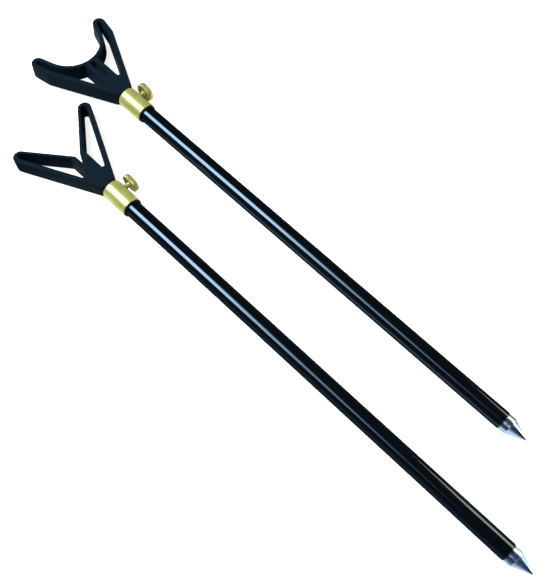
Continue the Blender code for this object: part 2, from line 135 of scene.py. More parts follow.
def ray_kinds(tree):
    """Whether a ray comes from the camera, and whether it comes from metal or through glass."""
    rays = node(tree, "ShaderNodeLightPath")
    seen = worked_out(tree, "MAXIMUM", rays.outputs["Is Glossy Ray"], rays.outputs["Is Transmission Ray"])
    return rays.outputs["Is Camera Ray"], seen


pure_white = (1, 1, 1, 1)
# The sheet's colour is a painted pool of light, and the colour beyond it is painted shade.
sheet_colour = (0.84, 0.84, 0.84, 1)
table_shade_colour = (0.14, 0.14, 0.15, 1)
sheet_fades = (0.048, 0.078)
sheet_widens = (0.10, 0.17)
sheet_wider_by = 0.018
camera_lift = (0.85, 0.99)
metal_lift = 0.05
table_roughness = 0.9
table_white, tree, shader = new_material("table_white", sheet_colour, specular=0.0)
shader.inputs["Roughness"].default_value = table_roughness
place = node(tree, "ShaderNodeTexCoord")
parts = node(tree, "ShaderNodeSeparateXYZ", {0: place.outputs["Object"]})
away = worked_out(tree, "ABSOLUTE", parts.outputs["X"])
wider = mapped(tree, parts.outputs["Y"], sheet_widens, (0, sheet_wider_by))
beyond = mapped(tree, worked_out(tree, "SUBTRACT", away, wider), sheet_fades, easing="SMOOTHSTEP")
# The base colour: painted light on the sheet, fading into painted shade beyond it.
tree.links.new(blended(tree, beyond, sheet_colour, table_shade_colour), shader.inputs["Base Color"])
to_camera, to_metal = ray_kinds(tree)
for_metal = worked_out(tree, "MULTIPLY", to_metal, metal_lift)
lift = worked_out(tree, "MULTIPLY_ADD", to_camera, mapped(tree, beyond, ends=camera_lift), for_metal)
shader.inputs["Emission Color"].default_value = pure_white
tree.links.new(lift, shader.inputs["Emission Strength"])
table_mesh.materials.append(table_white)


# The overhead panel: one long soft lamp, beyond the heads and to the left, which draws the pale line
# along each tube. It is bright beyond the heads, fades towards the points, and ends softly along a
# slanted edge on its right.

panel_height = 1.5
panel_across = (-1.18, -0.06)
panel_along = (-0.50, 1.50)
panel_size = (panel_across[1] - panel_across[0], panel_along[1] - panel_along[0])
panel_brightness = 12.0
panel_fall = {-0.50: 0.0, -0.40: 0.01, -0.20: 0.06, 0.0: 0.20, 0.22: 0.30, 0.42: 0.58, 0.62: 1.0}
panel_colour = np.array([0.93, 0.98, 1.0])
panel_slant = 1.0
panel_edge = -0.66
panel_soft = 0.2
white_power = 4.0


def soft_lamp(name, size, brightness, ramp_along):
    """A rectangular lamp with a ramp of colours over its width (X) or length (Y).

    Its power is its area times its brightness times the power that makes one square metre white.
    """
    data = bpy.data.lights.new(name, "AREA")
    data.shape = "RECTANGLE"
    data.size, data.size_y = size
    data.energy = white_power * size[0] * size[1] * brightness
    data.use_nodes = True
    tree = data.node_tree
    face = node(tree, "ShaderNodeNewGeometry")
    parts = node(tree, "ShaderNodeSeparateXYZ", {0: face.outputs["Parametric"]})
    ramp = node(tree, "ShaderNodeValToRGB", {"Fac": parts.outputs[ramp_along]})
    tree.links.new(ramp.outputs["Color"], tree.nodes["Emission"].inputs["Color"])
    lamp = bpy.data.objects.new(name, data)
    bpy.context.scene.collection.objects.link(lamp)
    return lamp, tree, face, ramp.color_ramp


lamp, tree, face, ramp = soft_lamp("panel", panel_size, panel_brightness, "Y")
lamp.location = (sum(panel_across) / 2, sum(panel_along) / 2, panel_height)
for place, share in panel_fall.items():
    element = ramp.elements.new((place - panel_along[0]) / panel_size[1])
    element.color = (*(panel_colour * share), 1)
ramp.elements.remove(ramp.elements[0])
ramp.elements[-1].color = (*panel_colour, 1)
places = node(tree, "ShaderNodeSeparateXYZ", {0: face.outputs["Position"]})
slanted = worked_out(tree, "MULTIPLY_ADD", places.outputs["Y"], -panel_slant, places.outputs["X"])
lit = mapped(tree, slanted, (panel_edge - panel_soft, panel_edge + panel_soft), (1, 0))
tree.links.new(lit, tree.nodes["Emission"].inputs["Strength"])


# The side lamp: a low lamp on the right, which draws the streak on the steel. It is cool at one end
# and warm at the other.

side_lamp_at = Vector((0.74, -0.72, 0.28))
side_lamp_aim = Vector((-0.09, -0.32, -0.13))
side_lamp_roll = np.radians(33)
side_lamp_size = (1.10, 0.42)
side_lamp_brightness = 6.3
side_lamp_colours = {0.15: (0.30, 0.44, 0.52, 1), 0.45: (1.0, 0.73, 0.42, 1)}
lamp, _, _, ramp = soft_lamp("side_lamp", side_lamp_size, side_lamp_brightness, "X")
for element, (place, colour) in zip(ramp.elements, side_lamp_colours.items()):
    element.position, element.color = place, colour
lamp.location = side_lamp_at
facing = (side_lamp_at - side_lamp_aim).to_track_quat("Z", "Y")
lamp.rotation_euler = (facing @ Quaternion((0, 0, 1), side_lamp_roll)).to_euler()


# The room: what the tubes and the steel mirror above the table, dark as in the photograph and a
# little paler low down. The camera sees plain white there, and metal a small share of that white.

room_low = (0.082, 0.112, 0.153, 1)
room_high = (0.0, 0.010, 0.036, 1)
room_fades_by = 0.30
white_for_metal = 0.02
world = bpy.data.worlds.new("room")
world.use_nodes = True
bpy.context.scene.world = world
tree = world.node_tree
direction = node(tree, "ShaderNodeTexCoord")
parts = node(tree, "ShaderNodeSeparateXYZ", {0: direction.outputs["Generated"]})
fade = mapped(tree, parts.outputs["Z"], (0, room_fades_by), easing="SMOOTHSTEP")
to_camera, to_metal = ray_kinds(tree)
white = worked_out(tree, "MULTIPLY_ADD", to_metal, white_for_metal, to_camera)
behind = blended(tree, white, blended(tree, fade, room_low, room_high), pure_white)
tree.links.new(behind, tree.nodes["Background"].inputs["Color"])
bpy.context.scene.view_settings.view_transform = "Standard"


# The outer tubes: 16 mm drawn tube in gloss black lacquer. The head end stands inside the collar, and
# the far end is broken by a small chamfer where the ground point is pressed in.

# Each rest's own directions come from its joints: across to its thumbscrew, along to its head, above.
joints = {joint["name"]: joint for joint in frame["joints"]}
rests = {}
for side in ("front", "rear"):
    along = np.array(joints[side + "_head_turn"]["axis"])
    across = np.array(joints[side + "_pad_travel"]["axis"])
    origin = np.array(joints[side + "_head_turn"]["pos_m"])
    rests[side] = (origin, np.stack([across, along, np.cross(across, along)]))

round_sides = 128
weld_within = 1e-6
turned_crease = np.radians(32)


def in_row(side, points):
    """Points (across, along, above) of a rest in the row frame: origin + each times its direction."""
    origin, axes = rests[side]
    return np.asarray(points) @ axes + origin


def grid(points, wrap_rows=False, wrap_columns=True):
    """Rows and columns of points, and the quad between each point and its next neighbours."""
    rows, columns = points.shape[:2]
    index = np.arange(rows * columns).reshape(rows, columns)
    if wrap_rows:
        index = np.vstack([index, index[:1]])
    if wrap_columns:
        index = np.hstack([index, index[:, :1]])
    quads = np.stack([index[:-1, :-1], index[1:, :-1], index[1:, 1:], index[:-1, 1:]], axis=-1)
    return points.reshape(-1, 3), quads.reshape(-1, 4)


def lathe(profile, sides=round_sides):
    """A profile of (radius, distance along) turned about the stick: x = r cos t, z = r sin t."""
    turn = np.linspace(0, 2 * np.pi, sides, endpoint=False)
    radius, distance = np.asarray(profile, float).T
    points = np.empty((len(radius), sides, 3))
    points[..., 0] = radius[:, None] * np.cos(turn)
    points[..., 1] = distance[:, None]
    points[..., 2] = radius[:, None] * np.sin(turn)
    return points


def welded(name, points, faces):
    """A mesh of points and faces, its doubles merged and its faces turned outwards."""
    mesh = bpy.data.meshes.new(name)
    mesh.from_pydata(points.tolist(), [], faces)
    form = bmesh.new()
    form.from_mesh(mesh)
    bmesh.ops.remove_doubles(form, verts=form.verts, dist=weld_within)
    bmesh.ops.recalc_face_normals(form, faces=form.faces)
    form.to_mesh(mesh)
    form.free()
    return mesh


def smoothed(mesh, crease):
    """The mesh shaded smooth, but for edges that turn by more than the crease's angle."""
    mesh.shade_smooth()
    mesh.set_sharp_from_angle(angle=crease)
    return mesh


def skin(name, side, patches, material, body, replaced, crease=turned_crease):
    """One closed piece: its patches one after the other, welded at their shared edges and smoothed."""
    starts = np.cumsum([0] + [len(points) for points, _ in patches])
    points = in_row(side, np.concatenate([points for points, _ in patches]))
    faces = []
    for start, (_, group) in zip(starts, patches):
        faces += (group + start).tolist()
    mesh = smoothed(welded(name, points, faces), crease)
    mesh.materials.append(material)
    piece = bpy.data.objects.new(name, mesh)
    bpy.context.scene.collection.objects.link(piece)
    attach(piece, body)
    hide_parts(*replaced)
    return piece


def effect(name, inputs, outputs):
    """An empty node group with its named inputs and outputs, each of a kind."""
    group = bpy.data.node_groups.new(name, "ShaderNodeTree")
    for in_out, sockets in (("INPUT", inputs), ("OUTPUT", outputs)):
        for label, kind in sockets.items():
            group.interface.new_socket(label, in_out=in_out, socket_type="NodeSocket" + kind)
    return group, group.nodes.new("NodeGroupInput"), group.nodes.new("NodeGroupOutput")


# Handling marks, for all but steel and aluminium: broad soft smears between two roughness values.
smear_shows = (0.42, 0.68)
smear_detail = 4.0
smear_warp = 0.6
handling_marks, given, result = effect(
    "handling_marks",
    {"Clean": "Float", "Smeared": "Float", "Smears per Metre": "Float"},
    {"Roughness": "Float", "Smear": "Float"},
)
place = node(handling_marks, "ShaderNodeTexCoord")
cloud = node(handling_marks, "ShaderNodeTexNoise", {
    "Vector": place.outputs["Object"], "Scale": given.outputs["Smears per Metre"],
    "Detail": smear_detail, "Distortion": smear_warp,
})
smear = mapped(handling_marks, cloud.outputs["Fac"], smear_shows)
spread = mapped(handling_marks, smear, ends=(given.outputs["Clean"], given.outputs["Smeared"]))
handling_marks.links.new(spread, result.inputs["Roughness"])
handling_marks.links.new(smear, result.inputs["Smear"])

# Drawing and turning marks: fine lines that run round the stick, or along it, from stretched noise.
line_detail = 3.0
tool_marks, given, result = effect("tool_marks", {"Lines per Metre": "Vector"}, {"Lines": "Float"})
place = node(tool_marks, "ShaderNodeTexCoord")
stretched = node(tool_marks, "ShaderNodeVectorMath",
                 {0: place.outputs["Object"], 1: given.outputs["Lines per Metre"]}, operation="MULTIPLY")
lines = node(tool_marks, "ShaderNodeTexNoise",
             {"Vector": stretched.outputs[0], "Scale": 1.0, "Detail": line_detail})
tool_marks.links.new(lines.outputs["Fac"], result.inputs["Lines"])


def handled(tree, shader, clean, smeared, per_metre):
    """Handling marks in a finish's roughness. The smears come back, for its colour."""
    values = {"Clean": clean, "Smeared": smeared, "Smears per Metre": per_metre}
    marks = node(tree, "ShaderNodeGroup", values, node_tree=handling_marks)
    tree.links.new(marks.outputs["Roughness"], shader.inputs["Roughness"])
    return marks.outputs["Smear"]


def tooled(tree, per_metre):
    """The lines of a tool, so many a metre across, along and above, as a height from 0 to 1."""
    marks = node(tree, "ShaderNodeGroup", {"Lines per Metre": per_metre}, node_tree=tool_marks)
    return marks.outputs["Lines"]


def relief(tree, shader, height, strength, depth):
    """A height's ups and downs in a finish's normal: a bump of a strength and a depth in metres."""
    values = {"Height": height, "Strength": strength, "Distance": depth}
    bump = node(tree, "ShaderNodeBump", values)
    tree.links.new(bump.outputs["Normal"], shader.inputs["Normal"])


lacquer_colour = (0.0330, 0.0500, 0.0670, 1)
lacquer, tree, shader = new_material("gloss_black_lacquer", lacquer_colour, metallic=0.945)
shader.inputs["Specular Tint"].default_value = (0.04, 0.04, 0.04, 1)
handled(tree, shader, clean=0.075, smeared=0.115, per_metre=55.0)
relief(tree, shader, tooled(tree, per_metre=(260.0, 9.0, 260.0)), strength=0.25, depth=0.00006)

tube_radius = 0.008
tube_bore = 0.0071
tube_near = -0.0141
tube_far = -0.4468
tube_chamfer = 0.00025
tube_profile = [
    (tube_bore, tube_near),
    (tube_radius, tube_near),
    (tube_radius, tube_far + tube_chamfer),
    (tube_radius - tube_chamfer, tube_far),
    (tube_bore, tube_far),
]
for side in rests:
    skin(side + "_tube", side, [grid(lathe(tube_profile), wrap_rows=True)], lacquer,
         side + "_barrel", [side + "_outer_tube"])


# The rings: a narrow black plastic ring pressed onto each tube just past the collar's end. It is
# matt, so the pale line along the tube stops at it.

ring_colour = (0.0030, 0.0045, 0.0060, 1)
ring_plastic, tree, shader = new_material("matt_black_plastic", ring_colour, specular=0.12)
handled(tree, shader, clean=0.48, smeared=0.62, per_metre=180.0)

ring_radius = 0.0093
ring_edge = 0.0003
ring_near = -0.0284
ring_far = -0.0298
ring_grip = 0.0001


def broken_edges(bore, radius, near, far, edge):
    """The profile of a length of tube whose two outer edges are broken at 45 degrees."""
    return [
        (bore, near), (radius - edge, near), (radius, near - edge),
        (radius, far + edge), (radius - edge, far), (bore, far),
    ]


ring_profile = broken_edges(tube_radius - ring_grip, ring_radius, ring_near, ring_far, ring_edge)
for side in rests:
    skin(side + "_ring", side, [grid(lathe(ring_profile), wrap_rows=True)], ring_plastic,
         side + "_barrel", [side + "_outer_tube"])


# The ground points: steel turned to a short shoulder and a cone, polished, with a spigot that is
# pressed into the tube. The very tip is blunted.

steel_colour = (0.50, 0.70, 0.93, 1)
steel_roughness = (0.14, 0.26)
steel, tree, shader = new_material("polished_steel", steel_colour, metallic=1.0)
turned = tooled(tree, per_metre=(30.0, 5200.0, 30.0))
tree.links.new(mapped(tree, turned, ends=steel_roughness), shader.inputs["Roughness"])
relief(tree, shader, turned, strength=1.0, depth=0.00007)

spigot_radius = 0.0068
spigot_length = 0.0200
spigot_chamfer = 0.0008
shoulder_radius = 0.0076
shoulder_length = 0.0070
shoulder_edge = 0.00045
cone_length = 0.0147
blunt_radius = 0.0009
blunt_from = 25
blunt_points = 8
point_gap = 0.0003
point_crease = np.radians(24)


def up_to_square(points, start=0):
    """Evenly spaced angles from a start, in degrees, to a right angle."""
    return np.radians(np.linspace(start, 90, points))


point_top = tube_far - point_gap
spigot_top = point_top + spigot_length
shoulder_low = tube_far - shoulder_length
blunt = up_to_square(blunt_points, blunt_from)
blunt_along = shoulder_low - cone_length - blunt_radius * np.sin(blunt)
point_profile = np.vstack([
    [(0, spigot_top), (spigot_radius - spigot_chamfer, spigot_top)],
    [(spigot_radius, spigot_top - spigot_chamfer), (spigot_radius, point_top)],
    [(shoulder_radius - shoulder_edge, point_top), (shoulder_radius, point_top - shoulder_edge)],
    [(shoulder_radius, shoulder_low + shoulder_edge), (shoulder_radius - shoulder_edge, shoulder_low)],
    np.column_stack([blunt_radius * np.cos(blunt), blunt_along]),
])
for side in rests:
    skin(side + "_point", side, [grid(lathe(point_profile))], steel,
         side + "_barrel", [side + "_ground_point"], point_crease)


# The collars: brass turned from bar, bored to guide the inner tube and counterbored for the outer
# one, with broken edges and a cross hole for the thumbscrew.

brass_bright = (0.68, 0.73, 0.25, 1)
brass_dull = (0.59, 0.63, 0.17, 1)
brass, tree, shader = new_material("turned_brass", brass_bright, metallic=0.58)
shader.inputs["Specular Tint"].default_value = (0.35, 0.35, 0.25, 1)
shader.inputs["Coat Weight"].default_value = 0.3
shader.inputs["Coat Roughness"].default_value = 0.12
smear = handled(tree, shader, clean=0.28, smeared=0.36, per_metre=90.0)
tree.links.new(blended(tree, smear, brass_bright, brass_dull), shader.inputs["Base Color"])
relief(tree, shader, tooled(tree, per_metre=(15.0, 3600.0, 15.0)), strength=0.15, depth=0.00002)

collar_radius = 0.0096
collar_length = 0.0281
head_end_rounding = 0.0016
tube_end_edge = 0.0006
edge_points = 7
guide_radius = 0.0066
counterbore_radius = 0.0083
counterbore_top = -0.0138
cross_hole_radius = 0.0028
cross_hole_along = -0.0084
cross_hole_sides = 64
drill_starts = 0.004
drill_ends = 0.012
wall_rows_along = 61


def turned_edge(radius, size):
    """A quarter circle from an end face to the outside: in by size (1 - sin t), on by size (1 - cos t)."""
    turn = up_to_square(edge_points)
    return np.column_stack([radius - size * (1 - np.sin(turn)), size * (1 - np.cos(turn))])


near_edge = turned_edge(collar_radius, head_end_rounding) * (1, -1)
far_edge = turned_edge(collar_radius, tube_end_edge)[::-1] - (0, collar_length)
wall_along = np.linspace(-head_end_rounding, -collar_length + tube_end_edge, wall_rows_along)[1:-1]
wall = np.column_stack([np.full(len(wall_along), collar_radius), wall_along])
collar_profile = np.vstack([
    near_edge, wall, far_edge,
    [(counterbore_radius, -collar_length), (counterbore_radius, counterbore_top)],
    [(guide_radius, counterbore_top), (guide_radius, 0)],
])


def rod_across(radius, low, high):
    """A closed rod across the stick, through the cross hole: along = r cos t, above = r sin t."""
    turn = np.linspace(0, 2 * np.pi, cross_hole_sides, endpoint=False)
    rows = [(0, low), (radius, low), (radius, high), (0, high)]
    points = np.empty((len(rows), cross_hole_sides, 3))
    for row, (reach, at) in enumerate(rows):
        points[row, :, 0] = at
        points[row, :, 1] = cross_hole_along + reach * np.cos(turn)
        points[row, :, 2] = reach * np.sin(turn)
    return grid(points)


def drill(piece, side, hole):
    """Cuts a hole in a finished piece and keeps the result as its mesh."""
    points, faces = hole
    cutter = bpy.data.objects.new("drill", welded("drill", in_row(side, points), faces.tolist()))
    bpy.context.scene.collection.objects.link(cutter)
    cut = piece.modifiers.new("drill", "BOOLEAN")
    cut.object = cutter
    graph = bpy.context.evaluated_depsgraph_get()
    drilled = bpy.data.meshes.new_from_object(piece.evaluated_get(graph))
    piece.modifiers.clear()
    piece.data = smoothed(drilled, turned_crease)
    bpy.data.objects.remove(cutter)


for side in rests:
    piece = skin(side + "_turned_collar", side, [grid(lathe(collar_profile), wrap_rows=True)], brass,
                 side + "_barrel", [side + "_collar"])
    drill(piece, side, rod_across(cross_hole_radius, drill_starts, drill_ends))


# The thumbscrews: a turned brass disc with a straight-knurled rim on a threaded shank. The neck under
# the disc is plain, and the thread runs from there through the collar to the pad. The grooves of the
# knurl and the thread, and the disc's underside, are painted darker as shade.

screw_bright = (0.67, 0.71, 0.26, 1)
screw_dull = (0.55, 0.57, 0.16, 1)
# A painted shade colour, laid into the knurl's and the thread's grooves and under the disc.
screw_shade_colour = (0.13, 0.12, 0.015, 1)
screw_brass, tree, shader = new_material("knurled_brass", screw_bright, metallic=0.5)
shader.inputs["Coat Weight"].default_value = 0.5
shader.inputs["Coat Roughness"].default_value = 0.25
smear = handled(tree, shader, clean=0.34, smeared=0.46, per_metre=160.0)
tone = blended(tree, smear, screw_bright, screw_dull)
# Painted shade from a mask on the points: the grooves' depth, and a fixed share under the disc.
groove_shade_mask = node(tree, "ShaderNodeAttribute", attribute_name="painted_shade")
shaded_tone = blended(tree, groove_shade_mask.outputs["Fac"], tone, screw_shade_colour)
tree.links.new(shaded_tone, shader.inputs["Base Color"])
relief(tree, shader, tooled(tree, per_metre=(4200.0, 25.0, 25.0)), strength=0.3, depth=0.00003)

shank_radius = 0.0025
shank_end = 0.00795
shank_chamfer = 0.0004
thread_pitch = 0.0008
thread_depth = 0.00036
thread_starts = shank_end + shank_chamfer
thread_top = 0.0125
thread_rows_a_turn = 10
thread_runs_out = 0.0002
neck_radius = 0.0024
neck_flare = 0.0008
disc_near = 0.0139
disc_far = 0.0190
disc_radius = 0.0088
underside_radius = 0.6 * disc_radius
rim_chamfer = 0.0006
rim_curve = [(0, 1.2), (0.5, 0.35), (1, 0)]
rim_inner = 0.9 * disc_radius
knurl_teeth = 48
knurl_depth = 0.00034
knurl_middle = 0.5
knurl_swing = 0.75
recess_edge = 0.62 * disc_radius
recess_radius = 0.56 * disc_radius
recess_depth = 0.0003
shade_starts = disc_near - neck_flare / 2
shade_ends = disc_near + rim_chamfer / 4
underside_shade = 0.7
points_a_tooth = 6
screw_sides = knurl_teeth * points_a_tooth
screw_crease = np.radians(40)


def knurl_wave(turn):
    """How deep the rim is cut: middle - swing cos(teeth times turn), held between 0 and 1."""
    return np.clip(knurl_middle - knurl_swing * np.cos(knurl_teeth * turn), 0, 1)


def thread_wave(distance, turn):
    """How deep the thread is cut: a triangle wave of distance / pitch - turn / 2 pi."""
    return np.abs(2 * ((distance / thread_pitch - turn / (2 * np.pi)) % 1) - 1)


def thumbscrew_grid():
    """Rows of (distance out, radius) from the shank's end to the disc's face, cut by thread and knurl.

    The rim's curve is given in chamfers, as (distance in from the disc's side, depth of the cut).
    """
    thread_at = np.arange(thread_starts, thread_top, thread_pitch / thread_rows_a_turn)
    neck_turn = up_to_square(edge_points)
    neck_at = disc_near - neck_flare + neck_flare * np.sin(neck_turn)
    neck_reach = neck_radius + neck_flare * (1 - np.cos(neck_turn))
    rim_in, rim_cut = rim_chamfer * np.array(rim_curve).T
    distance, reach = np.vstack([
        [(shank_end, 0), (shank_end, shank_radius - shank_chamfer)],
        [(shank_end + shank_chamfer / 2, shank_radius - shank_chamfer / 2)],
        np.column_stack([thread_at, np.full(len(thread_at), shank_radius)]),
        [(thread_top + thread_runs_out, neck_radius)],
        np.column_stack([neck_at, neck_reach]),
        [(disc_near, underside_radius)],
        np.column_stack([disc_near + rim_in, disc_radius - rim_cut]),
        np.column_stack([disc_far - rim_in, disc_radius - rim_cut])[::-1],
        [(disc_far, recess_edge), (disc_far - recess_depth, recess_radius), (disc_far - recess_depth, 0)],
    ]).T
    turn = np.linspace(0, 2 * np.pi, screw_sides, endpoint=False)
    radius = np.repeat(reach[:, None], screw_sides, axis=1)
    on_thread = (distance >= thread_starts) & (distance < thread_top)
    ease = np.clip((thread_top - distance[on_thread, None]) / thread_pitch, 0, 1)
    radius[on_thread] -= thread_depth * thread_wave(distance[on_thread, None], turn) * ease
    radius[reach > disc_radius - rim_chamfer / 2] -= knurl_depth * knurl_wave(turn)
    points = np.empty((*radius.shape, 3))
    points[..., 0] = distance[:, None]
    points[..., 1] = cross_hole_along + radius * np.cos(turn)
    points[..., 2] = radius * np.sin(turn)
    return points


for side in rests:
    piece = skin(side + "_knurled_screw", side, [grid(thumbscrew_grid())], screw_brass,
                 side + "_screw", [side + "_thumbscrew"], screw_crease)
    placed = np.empty(len(piece.data.vertices) * 3, np.float32)
    piece.data.vertices.foreach_get("co", placed)
    origin, axes = rests[side]
    out, along, above = ((placed.reshape(-1, 3) - origin) @ axes.T).T
    beside = along - cross_hole_along
    turn = np.arctan2(above, beside)
    on_rim = (out > disc_near) & (out < disc_far) & (np.hypot(above, beside) > rim_inner)
    # Painted shade under the disc, between the neck's flare and the rim's chamfer.
    shade = np.where((out > shade_starts) & (out < shade_ends), underside_shade, 0)
    on_shank = np.where(out < thread_top, thread_wave(out, turn), shade)
    painted_shade = np.where(on_rim, knurl_wave(turn), on_shank)
    mask = piece.data.attributes.new("painted_shade", "FLOAT", "POINT")
    mask.data.foreach_set("value", painted_shade.astype(np.float32))


# The clamp pads and the guide bushes: white nylon. The pad lies between the screw and the inner tube,
# and the bush is plugged into the inner tube's far end to run in the outer tube's bore.

nylon_colour = (0.78, 0.77, 0.72, 1)
nylon, tree, shader = new_material("white_nylon", nylon_colour, specular=0.4)
handled(tree, shader, clean=0.40, smeared=0.58, per_metre=220.0)

plug_sides = 96
pad_near = 0.00665
pad_far = 0.00765
bush_shoulder = -0.3856
bush_far = -0.3956
bush_radius = 0.00685
bush_chamfer = 0.0008
plug_radius = 0.00515
plug_length = 0.0123
bush_profile = [
    (0, bush_shoulder + plug_length), (plug_radius, bush_shoulder + plug_length),
    (plug_radius, bush_shoulder), (bush_radius, bush_shoulder),
    (bush_radius, bush_far + bush_chamfer), (bush_radius - bush_chamfer, bush_far), (0, bush_far),
]
for side in rests:
    skin(side + "_nylon_pad", side, [rod_across(shank_radius, pad_near, pad_far)], nylon,
         side + "_pad", [side + "_clamp_pad"])
    skin(side + "_nylon_bush", side, [grid(lathe(bush_profile, plug_sides))], nylon,
         "inner_tubes", [side + "_guide_bush"])


# The inner tubes: 12.7 mm aluminium tube, drawn and left bright, with faint lines along its length.
# The thumbscrew clamps it through the pad.

aluminium_colour = (0.58, 0.59, 0.61, 1)
aluminium_roughness = (0.16, 0.32)
aluminium, tree, shader = new_material("drawn_aluminium", aluminium_colour, metallic=1.0)
drawn = tooled(tree, per_metre=(2600.0, 12.0, 2600.0))
tree.links.new(mapped(tree, drawn, ends=aluminium_roughness), shader.inputs["Roughness"])
relief(tree, shader, drawn, strength=0.25, depth=0.00002)

inner_radius = 0.00635
inner_bore = 0.00545
inner_near = -0.0033
inner_far = -0.3853
inner_edge = 0.0002
inner_profile = broken_edges(inner_bore, inner_radius, inner_near, inner_far, inner_edge)
for side in rests:
    skin(side + "_bright_tube", side, [grid(lathe(inner_profile), wrap_rows=True)], aluminium,
         "inner_tubes", [side + "_inner_tube"])


# The head sockets and studs: brass. The socket is pressed into the inner tube's near end and tapped,
# and the stud is moulded into the head by its flange.

plain_colour = (0.72, 0.62, 0.30, 1)
plain_brass, tree, shader = new_material("plain_brass", plain_colour, metallic=1.0)
handled(tree, shader, clean=0.24, smeared=0.38, per_metre=120.0)

socket_spigot = 0.00515
socket_bore = 0.00465
socket_flange = 0.003
socket_length = 0.018
socket_edge = 0.0003
socket_profile = [
    (inner_radius - socket_edge, 0), (inner_radius, -socket_edge), (inner_radius, -socket_flange),
    (socket_spigot, -socket_flange), (socket_spigot, -socket_length),
    (socket_bore, -socket_length), (socket_bore, 0),
]
stud_radius = 0.00435
stud_flange_radius = 0.0056
stud_flange_low = 0.007
stud_flange_high = 0.010
stud_length = 0.013
stud_profile = [
    (0, stud_length), (stud_radius, stud_length), (stud_radius, stud_flange_high),
    (stud_flange_radius, stud_flange_high), (stud_flange_radius, stud_flange_low),
    (stud_radius, stud_flange_low), (stud_radius, -stud_length), (0, -stud_length),
]
for side in rests:
    skin(side + "_tapped_socket", side, [grid(lathe(socket_profile, plug_sides), wrap_rows=True)],
         plain_brass, "inner_tubes", [side + "_head_socket"])
    skin(side + "_stud", side, [grid(lathe(stud_profile, plug_sides))],
         plain_brass, side + "_rest_head", [side + "_head_stud"])


# The V head: one moulding in black plastic, 16.4 mm deep, with an open window in each horn and a slot
# under the V for the line. The outer edges are well rounded, the windows' edges less, and the hub is
# round where it meets the collar.

plastic_colour = (0.0060, 0.0130, 0.0225, 1)
grain_per_metre = 2600.0
grain_detail = 2.0
head_plastic, tree, shader = new_material("satin_black_plastic", plastic_colour, specular=0.008)
shader.inputs["Specular Tint"].default_value = (0.70, 0.88, 1.0, 1)
handled(tree, shader, clean=0.36, smeared=0.48, per_metre=70.0)
place = node(tree, "ShaderNodeTexCoord")
grain = node(tree, "ShaderNodeTexNoise",
             {"Vector": place.outputs["Object"], "Scale": grain_per_metre, "Detail": grain_detail})
relief(tree, shader, grain.outputs["Fac"], strength=0.22, depth=0.00004)

seat_gap = 0.0003
seat_points = 34
head_depth = 0.0164
head_crease = np.radians(38)
outer_edge = 0.0012
window_edge = 0.0006
face_margin = 1.06
mould_draft = 0.00006
window_draft = 0.0010
notch_reach = 0.0300
notch_fade = 0.0060
hub_radius = 0.0089
hub_flare = 1.1
hub_reach = 0.0070
hub_blend = 0.0008
hub_run = 0.0004
spot_step = 0.0005
spot_reach = 0.0150
longest_run = 0.004
arc_angle = np.radians(6)
fewest_in_arc = 3
same_place = 1e-9
least_square = 1e-10
to_lower = (1, 1, -1)


def angle_of(point, centre):
    """The angle of a point as seen from a centre."""
    return np.arctan2(point[1] - centre[1], point[0] - centre[0])


def on_circle(centre, radius, angle):
    """The point of a circle at an angle: centre + r cos t, centre + r sin t."""
    return np.array([centre[0] + radius * np.cos(angle), centre[1] + radius * np.sin(angle)])


def arc(centre, radius, start, end):
    """Points on a circle between two angles, evenly spaced and less than six degrees apart."""
    steps = int(abs(end - start) / arc_angle)
    turn = np.linspace(start, end, max(fewest_in_arc, steps + 2))
    return on_circle(centre, radius, turn).T


def tangent_angle(centre, radius, outside, turning):
    """The angle on a circle where a line from an outside point touches it, on its left (1) or right (-1).

    It is the point's own angle, turned by the arc cosine of radius / distance.
    """
    distance = np.hypot(outside[0] - centre[0], outside[1] - centre[1])
    return angle_of(outside, centre) + turning * np.arccos(radius / distance)


def round_tip(centre, radius, before, after):
    """The arc anticlockwise round a tip, from the line out of one point to the line back to another."""
    start = tangent_angle(centre, radius, before, 1)
    end = tangent_angle(centre, radius, after, -1)
    return arc(centre, radius, start, start + (end - start) % (2 * np.pi))


def rounded(corner, before, after, radius):
    """A corner replaced by the arc that touches both of its sides.

    Its centre lies on the line that halves the corner, at radius / sin(half), and it touches each
    side at radius / tan(half) from the corner.
    """
    corner, before, after = (np.asarray(p, float) for p in (corner, before, after))
    one = (before - corner) / np.linalg.norm(before - corner)
    other = (after - corner) / np.linalg.norm(after - corner)
    half = np.arccos(one @ other) / 2
    centre = corner + (one + other) / np.linalg.norm(one + other) * radius / np.sin(half)
    start = angle_of(corner + one * radius / np.tan(half), centre)
    end = angle_of(corner + other * radius / np.tan(half), centre)
    return arc(centre, radius, start, start + (end - start + np.pi) % (2 * np.pi) - np.pi)


def subdivided(points, closed, longest):
    """The same line with its long runs split evenly: start + (end - start) i / n for each run.

    The steps are finer where the hub's cone meets the line.
    """
    ends = np.roll(points, -1, axis=0) if closed else points[1:]
    starts = points if closed else points[:-1]
    length = np.linalg.norm(ends - starts, axis=1)
    near_hub = np.minimum(starts[:, 1], ends[:, 1]) < hub_reach
    count = np.maximum(1, np.ceil(length / np.where(near_hub, hub_run, longest))).astype(int)
    which = np.repeat(np.arange(len(count)), count)
    share = (np.arange(count.sum()) - np.repeat(np.cumsum(count) - count, count)) / count[which]
    line = starts[which] + (ends - starts)[which] * share[:, None]
    return line if closed else np.vstack([line, points[-1:]])


def inward(points, closed):
    """Unit normals on the left of a line: the mean of those of the runs before and after each point."""
    run = np.diff(np.vstack([points[-1:], points, points[:1]]), axis=0)
    run /= np.linalg.norm(run, axis=1)[:, None]
    if not closed:
        run[0], run[-1] = run[1], run[-2]
    left = np.column_stack([-run[:, 1], run[:, 0]])
    mean = left[:-1] + left[1:]
    return mean / np.linalg.norm(mean, axis=1)[:, None]


